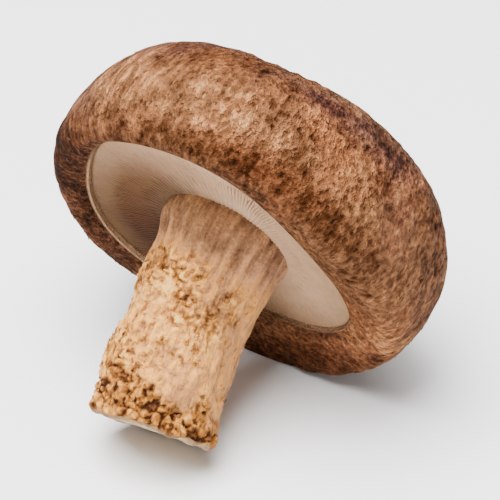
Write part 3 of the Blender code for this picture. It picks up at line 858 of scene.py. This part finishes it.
def stemRings():
    # Top, side, the worn edge of the cut, and the cut: part of the length, how far
    # out from the middle line, and how far past the end
    worn = stemFlesh["rounding"]
    last = stemFlesh["radii"][-1][1]
    cutRows = stemFlesh["cutRows"]
    rows = [(0.0, reach, 0.0) for reach in (0.15, 0.5, 0.85)]
    rows += [(i / stemFlesh["rows"], 1.0, 0.0) for i in range(stemFlesh["rows"] - stemFlesh["edgeRows"] + 1)]
    angles = np.linspace(0.0, math.pi / 2.0, stemFlesh["edgeRows"])
    rows += [(1.0, 1.0 - worn / last * (1.0 - math.cos(a)), worn * (math.sin(a) - 1.0)) for a in angles]
    edge = 1.0 - worn / last
    rows += [(1.0, edge * (1.0 - (i + 1) / (cutRows + 1)), 0.0) for i in range(cutRows)]
    return (np.array(column) for column in zip(*rows))


def stemBroadRelief(points, turn, part, collar):
    # The solid's own ribs on the collar, its staggered scales, made lower, and its lumps
    broadly, ribbed, strayed, rowed = (lumps(points, stemFlesh["lumpSize"], seed)
                                       for seed in stemFlesh["reliefSeeds"])
    ribs = np.cos(stemFlesh["ribs"] * turn + 0.8 * ribbed)
    stray = 0.12 * strayed
    row = part / stemFlesh["scaleRow"] + 0.35 * rowed
    scales = np.cos(stemFlesh["scalesAround"] * (turn + stray)) * np.cos(math.pi * row)
    scales *= (1.0 - collar) * (1.0 + part ** 3)
    broad = stemFlesh["lump"] * broadly + stemFlesh["rib"] * ribs * collar + stemFlesh["scale"] * scales
    return broad * smoothStep(part, 0.06, 0.16), ribs


def makeStem(material):
    # Rings about the bent middle line, moved outwards by the relief; the cut's own
    # relief goes along the line instead
    part, reach, shift = stemRings()
    middle, along, across, beside = stemFrame(part)
    turn = np.arange(stemFlesh["around"]) * (2.0 * math.pi / stemFlesh["around"])
    cos, sin = np.cos(turn)[None, :, None], np.sin(turn)[None, :, None]
    outward = cos * across[:, None, :] + sin * beside[:, None, :]
    part, reach, shift = (value[:, None] + 0.0 * turn for value in (part, reach, shift))
    turn = turn + 0.0 * part
    slant = stemFlesh["slant"] * reach * np.cos(turn - stemFlesh["slantTurn"])
    slant *= smoothStep(part, 1.0 - stemFlesh["slantReach"], 1.0)
    along = np.broadcast_to(along[:, None, :], outward.shape)
    rings = middle[:, None, :] + (reach * stemRadius(part))[..., None] * outward
    rings = rings + (shift + slant)[..., None] * along
    length = stemFlesh["length"] * part + shift
    clear = smoothStep(heightOverTable(rings), 0.0, lying["reliefFade"])
    onCut = np.where((part > 0.999) & (shift > -0.5 * stemFlesh["rounding"]), 1.0, 0.0)
    side = (reach > 0.9) * (1.0 - onCut)
    collar = 1.0 - smoothStep(part, stemFlesh["collarEnd"] * 0.5, stemFlesh["collarEnd"])
    broad, ribs = stemBroadRelief(rings, turn, part, collar)

    # Lengthwise fibres; scales, which are cells whose lower edges curl up brown; and a
    # rough base of close lumps with dark clefts between them
    place = grainPlace(turn, length, 9.0, 6.0)
    fibre = layeredNoise(place, *stemFlesh["fibres"])
    bend = [layeredNoise(rings, *values) for values in stemFlesh["bends"]]
    bent = rings + stemFlesh["bend"] * np.stack([bend[0], bend[1], bend[0] - bend[1]], axis=-1)
    facing = towards(turn, stemFlesh["scalyTurn"])
    patch = layeredNoise(rings, *stemFlesh["patches"])
    scaly = smoothStep(part + 0.06 * patch, 0.20, 0.34)
    scaly = scaly * (0.30 + 0.70 * smoothStep(facing + 0.3 * patch, 0.15, 0.75))
    base = smoothStep(part + 0.06 * patch - 0.12 * (1.0 - facing), 0.72, 0.84)
    dv, edge, pick, tint = cellsAround(
        turn + 0.055 * bend[0], length / stemFlesh["scaleStep"] + 0.5 * bend[1],
        stemFlesh["scalesRound"], stemFlesh["scaleSeed"], stemFlesh["jitter"])[1:]
    raised = smoothStep(edge, 0.0, 0.5) * smoothStep(dv, -0.6, 0.4) * smoothStep(pick, 0.2, 0.7)
    broken = smoothStep(layeredNoise(rings, *stemFlesh["breaks"]), -0.25, 0.45)
    curl = smoothStep(dv, 0.0, 0.35) * (1.0 - smoothStep(edge, 0.0, 0.5))
    curl = curl * smoothStep(pick, 0.3, 0.7) * broken
    grit = layeredNoise(bent, *stemFlesh["grit"])
    fleck = smoothStep(layeredNoise(bent, *stemFlesh["flecks"]), 0.12, 0.50)
    fleck = fleck * (0.6 + 0.4 * smoothStep(patch, -0.4, 0.4))
    baseLumps = cellsAround(
        turn + 0.05 * bend[1], length / stemFlesh["lumpStep"] + 0.5 * bend[0],
        stemFlesh["lumpsRound"], stemFlesh["lumpSeed"], stemFlesh["jitter"])
    lumpEdge, lumpTint = baseLumps[2], baseLumps[4]
    cleft = (1.0 - smoothStep(lumpEdge + 0.15 * grit, 0.0, 0.36)) * (0.35 + 0.65 * broken)

    relief = broad + stemFlesh["fibreDepth"] * fibre * (0.6 + collar)
    relief += scaly * (1.0 - base) * stemFlesh["scaleHeight"] * (raised + 0.8 * curl + 0.9 * grit)
    relief += scaly * stemFlesh["fleckHeight"] * fleck
    relief += base * (stemFlesh["lumpHeight"] * (smoothStep(lumpEdge, 0.0, 0.6) - 0.5 + 0.3 * grit)
                      - stemFlesh["cleftDepth"] * cleft)
    crumble = lumps(rings, stemFlesh["crumbleSize"], stemFlesh["crumbleSeed"])
    crumble = stemFlesh["crumble"] * crumble * reach ** 3
    crumble += stemFlesh["crumb"] * layeredNoise(rings, *stemFlesh["crumbs"])
    points = rings + (relief * side * clear)[..., None] * outward
    points = points + (crumble * onCut * clear)[..., None] * along
    points[..., 2] = np.minimum(points[..., 2], stemFlesh["top"][2])
    points = pressOnTable(points)

    # Tone: darker on the collar and on the back, painted shade from the cap, so paler on the scaly side;
    # darker too in curls, flecks and clefts
    gains = stemFlesh["tone"]
    tone = (gains["ground"] + gains["clouds"] * layeredNoise(rings, *stemFlesh["clouds"])
            + gains["fibres"] * fibre * (0.40 + 0.4 * collar + 0.25 * (1.0 - facing)))
    tone += (gains["grit"] * grit - gains["curls"] * curl - gains["flecks"] * fleck + gains["raised"] * raised
             + gains["tint"] * (tint - 0.5)) * scaly * (1.0 - base)
    # painted shade: the collar under the cap, more on the scaly side, and the back below it are darker
    tone += (gains["ribs"] * ribs * collar - (gains["collar"] + gains["collarShadeFacing"] * facing) * collar
             - gains["backShade"] * (1.0 - facing) * (1.0 - collar))
    upper = scaly * (1.0 - smoothStep(part, 0.42, 0.62))
    tone -= gains["upper"] * upper * (0.7 + 0.8 * patch)
    tone += base * (gains["baseGrit"] * grit + gains["baseTint"] * (lumpTint - 0.5) - gains["clefts"] * cleft
                    - gains["base"])
    ochre = base + (0.8 * curl + 0.7 * fleck) * scaly + 0.5 * upper * smoothStep(grit, -0.2, 0.4)
    ochre += (0.42 + 0.25 * smoothStep(patch, -0.3, 0.5)) * scaly
    # one mask gives the back a cooler, greyer painted shade
    values = {
        "tone": np.clip(tone, 0.0, 1.0), "ochre": np.clip(ochre, 0.0, 1.0),
        "cut": onCut, "reach": reach, "smooth": (1.0 - facing) ** 1.6 * (1.0 - base), "grain": place,
    }
    piece = ringPiece("stem_flesh", points, material, values)
    return piece, (part, points, outward, along, side * (1.0 - 0.7 * base) * (0.15 + scaly), values["tone"])


stemColours = {
    "tan": ((0.0, (0.022, 0.009, 0.003)), (0.22, (0.095, 0.040, 0.016)), (0.45, (0.225, 0.104, 0.044)),
            (0.65, (0.430, 0.192, 0.074)), (0.85, (0.590, 0.238, 0.048)), (1.0, (0.720, 0.272, 0.034))),
    "ochre": ((0.0, (0.024, 0.007, 0.002)), (0.22, (0.085, 0.027, 0.006)), (0.45, (0.220, 0.078, 0.013)),
              (0.7, (0.490, 0.200, 0.036)), (1.0, (0.780, 0.420, 0.110))),
    "inside": ((0.3, (0.360, 0.225, 0.120)), (0.55, (0.500, 0.350, 0.205)), (0.75, (0.620, 0.460, 0.290))),
    # the second tint on the next line gives the back a cooler painted shade
    "cutEdge": (0.160, 0.065, 0.022), "smooth": (0.92, 1.0, 1.30),
    "scatter": (1.0, 0.6, 0.35),
}


def makeStemMaterial():
    # Tone, with fibres, specks and flecks, picks the tan from a ramp, or an ochre on the
    # scales and the base. The back is greyer and cooler: painted shade. The cut is pale, brown at its edge
    material, tree, shader = newMaterial("stem tan", 0.8, Specular_IOR_Level=0.1,
                                         Subsurface_Weight=0.05, Subsurface_Scale=0.0008)
    shader.inputs["Subsurface Radius"].default_value = stemColours["scatter"]
    place = tree.nodes.new("ShaderNodeTexCoord").outputs["Object"]
    fibres = grain(tree, attribute(tree, "grain", "Vector"), 1.6, 2.0)
    specks = mottle(tree, 700.0, 2300.0)
    tone = addSwing(tree, attribute(tree, "tone"), fibres, 0.26)
    tone = addSwing(tree, tone, specks, 1.0, clamp=True)
    scaly = attribute(tree, "ochre")
    dark = maths(tree, "MULTIPLY", flecks(tree, place, 760.0, 0.34), scaly)
    pale = maths(tree, "MULTIPLY", flecks(tree, place, 1150.0, 0.26), scaly)
    tone = addPart(tree, tone, dark, -0.24)
    tone = addPart(tree, tone, pale, 0.14, clamp=True)
    tan = ramp(tree, tone, stemColours["tan"])
    ochre = ramp(tree, tone, stemColours["ochre"])
    colour = mixColour(tree, scaly, tan, ochre)
    colour = mixColour(tree, attribute(tree, "smooth"), colour, tinted(tree, colour, stemColours["smooth"]))
    inside = ramp(tree, specks, stemColours["inside"])
    byEdge = maths(tree, "POWER", attribute(tree, "reach"), 9.0)
    cutColour = mixColour(tree, byEdge, inside, stemColours["cutEdge"])
    colour = mixColour(tree, attribute(tree, "cut"), colour, cutColour)
    dress(tree, shader, colour, addPart(tree, 0.85, tone, -0.2))
    height = addPart(tree, specks, fibres, 0.7)
    height = maths(tree, "ADD", height, maths(tree, "SUBTRACT", pale, dark))
    addBump(tree, shader, height, 0.8, 0.0004)
    return material


# Loose scales

stripSteps, stripSides = 5, 3      # points along a scale and across it
scaleThickness = 0.07              # mm


def curledScales(name, roots, along, outward, sizes, material, tones):
    # Each is a strip of 5 by 3 points that leaves the skin and bends away from it:
    # its middle line is an arc, and it narrows to a point
    steps = np.linspace(0.0, 1.0, stripSteps)[None, :, None]
    sides = np.linspace(-1.0, 1.0, stripSides)[None, None, :]
    length, width, curl, sink = (sizes[:, k][:, None, None] for k in range(4))
    bend = np.maximum(curl, 0.05)
    run = length * np.sin(bend * steps) / bend
    lift = length * (1.0 - np.cos(bend * steps)) / bend - sink + 0.0 * sides
    half = 0.5 * width * np.clip(1.05 - steps, 0.0, 1.0) ** 0.7 * sides
    lift = lift - 0.25 * np.abs(half)      # its sides hang a little below its middle line
    beside = np.cross(along, outward)
    points = (roots[:, None, None, :] + run[..., None] * along[:, None, None, :]
              + lift[..., None] * outward[:, None, None, :] + half[..., None] * beside[:, None, None, :])
    i, j = np.meshgrid(np.arange(stripSteps - 1), np.arange(stripSides - 1), indexing="ij")
    corner = i * stripSides + j
    strip = np.stack([corner, corner + 1, corner + stripSides + 1, corner + stripSides], axis=-1)
    each = stripSteps * stripSides
    quads = (np.arange(len(roots))[:, None, None] * each + strip.reshape(1, -1, 4)).reshape(-1, 4)
    noTriangles = np.zeros((0, 3), dtype=int)
    values = {"tone": np.repeat(tones, each)}
    piece = meshFrom(name, points.reshape(-1, 3), quads, noTriangles, material, values)
    solid = piece.modifiers.new("Thickness", "SOLIDIFY")
    solid.thickness = scaleThickness * mm
    solid.offset = 0.0
    return piece


def makeScaleMaterial(name, stops):
    # The skin's own ramp, read by the tone of the place that the scale grows on
    material, tree, shader = newMaterial(name, 0.75, Specular_IOR_Level=0.1)
    specks = mottle(tree, 1100.0, 3000.0)
    tone = addSwing(tree, attribute(tree, "tone"), specks, 1.0, clamp=True)
    dress(tree, shader, ramp(tree, tone, stops), addPart(tree, 0.5, specks, 0.3))
    return material


def scatter(rng, grid, count, chance):
    # Picks places on a grid of points, each as often as its chance says
    weight = np.clip(chance, 0.0, None).ravel()
    picked = rng.choice(weight.size, size=count, replace=False, p=weight / weight.sum())
    return [value.reshape(weight.size, *value.shape[2:])[picked] for value in grid]


def drawSwings(rng, down, outward, stray):
    # A random angle for each scale, and the way across the skin that it swings towards
    return rng.normal(0.0, stray, len(down))[:, None], np.cross(outward, down)


def drawSizes(rng, loose, count):
    # Length, width and curl between their limits, and how deep the root is sunk
    drawn = [rng.uniform(*loose[key], count) for key in ("length", "width", "curl")]
    return np.stack(drawn + [np.full(count, loose["sink"])], axis=1)


capScales = {
    "seed": 17, "count": 600, "length": (0.5, 1.2), "width": (0.30, 0.60), "curl": (0.03, 0.12),
    "stray": 0.4, "sink": 0.03, "growFrom": (9.0, 24.0), "overTable": 3.0, "areas": (7.0, 93, 2),
    "toneDrift": (-0.08, 0.10),
}


def makeCapScales(material, skin):
    # On the dome and rim, in patches, and clear of the table. They lie down the cap
    radius, points, normals, covered, tone = skin
    rng = np.random.default_rng(capScales["seed"])
    patchy = smoothStep(layeredNoise(points, *capScales["areas"]), -0.5, 0.6)
    chance = radius * (covered > 0.5) * smoothStep(radius, *capScales["growFrom"]) * patchy
    chance = chance * (heightOverTable(points) > capScales["overTable"])
    down = np.gradient(points, axis=0)
    down /= np.linalg.norm(down, axis=2)[..., None]
    roots, outward, down, tone = scatter(rng, (points, normals, down, tone), capScales["count"], chance)
    swing, beside = drawSwings(rng, down, outward, capScales["stray"])
    along = np.cos(swing) * down + np.sin(swing) * beside
    along -= (along * outward).sum(axis=1)[:, None] * outward
    along /= np.linalg.norm(along, axis=1)[:, None]
    sizes = drawSizes(rng, capScales, len(roots))
    tone = np.clip(tone + rng.uniform(*capScales["toneDrift"], len(roots)), 0.0, 1.0)
    return curledScales("cap_scales", roots, along, outward, sizes, material, tone)


stemScales = {
    "seed": 19, "count": 520, "length": (0.5, 1.2), "width": (0.45, 1.0), "curl": (0.08, 0.36),
    "stray": 0.9, "sink": 0.03, "growFrom": (0.18, 0.32), "overTable": 2.0, "areas": (4.0, 92, 2),
    "toneDrift": (-0.08, 0.22),
}


def makeStemScales(material, flesh):
    # Below the collar, more where the skin is scaly. They point up the stem, and are
    # darker than the skin under them
    part, points, outward, along, side, tone = flesh
    rng = np.random.default_rng(stemScales["seed"])
    chance = side * smoothStep(part, *stemScales["growFrom"])
    chance = chance * (heightOverTable(points) > stemScales["overTable"])
    chance = chance * (0.1 + smoothStep(layeredNoise(points, *stemScales["areas"]), -0.3, 0.5))
    roots, outward, down, tone = scatter(rng, (points, outward, along, tone), stemScales["count"], chance)
    swing, beside = drawSwings(rng, down, outward, stemScales["stray"])
    along = np.cos(swing) * -down + np.sin(swing) * beside
    sizes = drawSizes(rng, stemScales, len(roots))
    tone = np.clip(0.75 * tone + rng.uniform(*stemScales["toneDrift"], len(roots)), 0.0, 1.0)
    return curledScales("stem_scales", roots, along, outward, sizes, material, tone)


# Stage, light and camera

view = {
    "azimuth": math.radians(-57.3), "elevation": math.radians(36.0),
    "distance": 0.52, "lens": 260.0, "aim": (0.80, -4.55),     # aim: mm right and up of the cap's middle
}


def makeCamera():
    # Stands at the photograph's angle and looks along it, past the cap's middle
    turn, rise = view["azimuth"], view["elevation"]
    ahead = np.array([-math.sin(turn) * math.cos(rise), math.cos(turn) * math.cos(rise), -math.sin(rise)])
    right = np.array([math.cos(turn), math.sin(turn), 0.0])
    up = np.cross(right, ahead)
    target = toWorld(np.zeros(3)) + (view["aim"][0] * right + view["aim"][1] * up) * mm
    camera = bpy.data.objects.new("camera", bpy.data.cameras.new("camera"))
    camera.data.lens = view["lens"]
    camera.data.clip_start = 0.01
    camera.location = target - ahead * view["distance"]
    camera.rotation_euler = (math.pi / 2.0 - rise, 0.0, turn)
    bpy.context.scene.collection.objects.link(camera)
    bpy.context.scene.camera = camera


studio = {
    "lights": (
        {"name": "key", "at": (-0.16, 0.04, 0.58), "size": 0.46, "power": 14.0},
        {"name": "top", "at": (0.12, 0.00, 0.75), "size": 0.80, "power": 6.0},
        {"name": "fill", "at": (-0.42, -0.42, 0.16), "size": 0.40, "power": 0.6}),
    "aim": (0.0, 0.0, 0.02), "surroundings": 0.34,
    "floorHalf": 1.5, "floorPoints": 41, "floorColour": (0.93, 0.93, 0.93, 1.0),
}


def makeLights():
    # Square lamps turned to face the aim, in plain white surroundings
    for light in studio["lights"]:
        data = bpy.data.lights.new(light["name"], "AREA")
        data.size = light["size"]
        data.energy = light["power"]
        lamp = bpy.data.objects.new(light["name"], data)
        lamp.location = light["at"]
        away = np.array(light["at"]) - np.array(studio["aim"])
        lamp.rotation_euler = (math.atan2(math.hypot(away[0], away[1]), away[2]), 0.0,
                               math.atan2(away[1], away[0]) + math.pi / 2.0)
        bpy.context.scene.collection.objects.link(lamp)
    world = bpy.data.worlds.new("studio")
    world.use_nodes = True
    background = world.node_tree.nodes["Background"]
    background.inputs["Color"].default_value = (1.0, 1.0, 1.0, 1.0)
    background.inputs["Strength"].default_value = studio["surroundings"]
    bpy.context.scene.world = world


def makeFloor():
    # A wide flat pale sheet, one grid of points
    count = studio["floorPoints"]
    steps = np.linspace(-studio["floorHalf"], studio["floorHalf"], count)
    x, y = np.meshgrid(steps, steps, indexing="ij")
    points = np.stack([x, y, np.zeros_like(x)], axis=-1).reshape(-1, 3)
    i, j = np.meshgrid(np.arange(count - 1), np.arange(count - 1), indexing="ij")
    corner = i * count + j
    quads = np.stack([corner, corner + count, corner + count + 1, corner + 1], axis=-1).reshape(-1, 4)
    mesh = bpy.data.meshes.new("floor")
    mesh.from_pydata(points.tolist(), [], quads.tolist())
    material, _, shader = newMaterial("floor paper", 0.9, Specular_IOR_Level=0.1)
    shader.inputs["Base Color"].default_value = studio["floorColour"]
    mesh.materials.append(material)
    floor = bpy.data.objects.new("floor", mesh)
    bpy.context.scene.collection.objects.link(floor)


makeCamera()
makeLights()
makeFloor()
print("camera, light and floor made")

capPiece, skin = makeCapSkin(makeCapMaterial())
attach(capPiece, "root")
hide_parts("cap")
print("cap made,", len(capPiece.data.polygons), "faces")

gillPiece = makeGills(makeGillMaterial())
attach(gillPiece, "root")
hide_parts("gills")
print("gills made,", len(gillPiece.data.polygons), "faces")

stemPiece, flesh = makeStem(makeStemMaterial())
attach(stemPiece, "root")
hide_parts("stem")
print("stem made,", len(stemPiece.data.polygons), "faces")

capScalePiece = makeCapScales(makeScaleMaterial("cap scale", capColours["brown"]), skin)
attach(capScalePiece, "root")
stemScalePiece = makeStemScales(makeScaleMaterial("stem scale", stemColours["ochre"]), flesh)
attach(stemScalePiece, "root")
print("loose scales made")
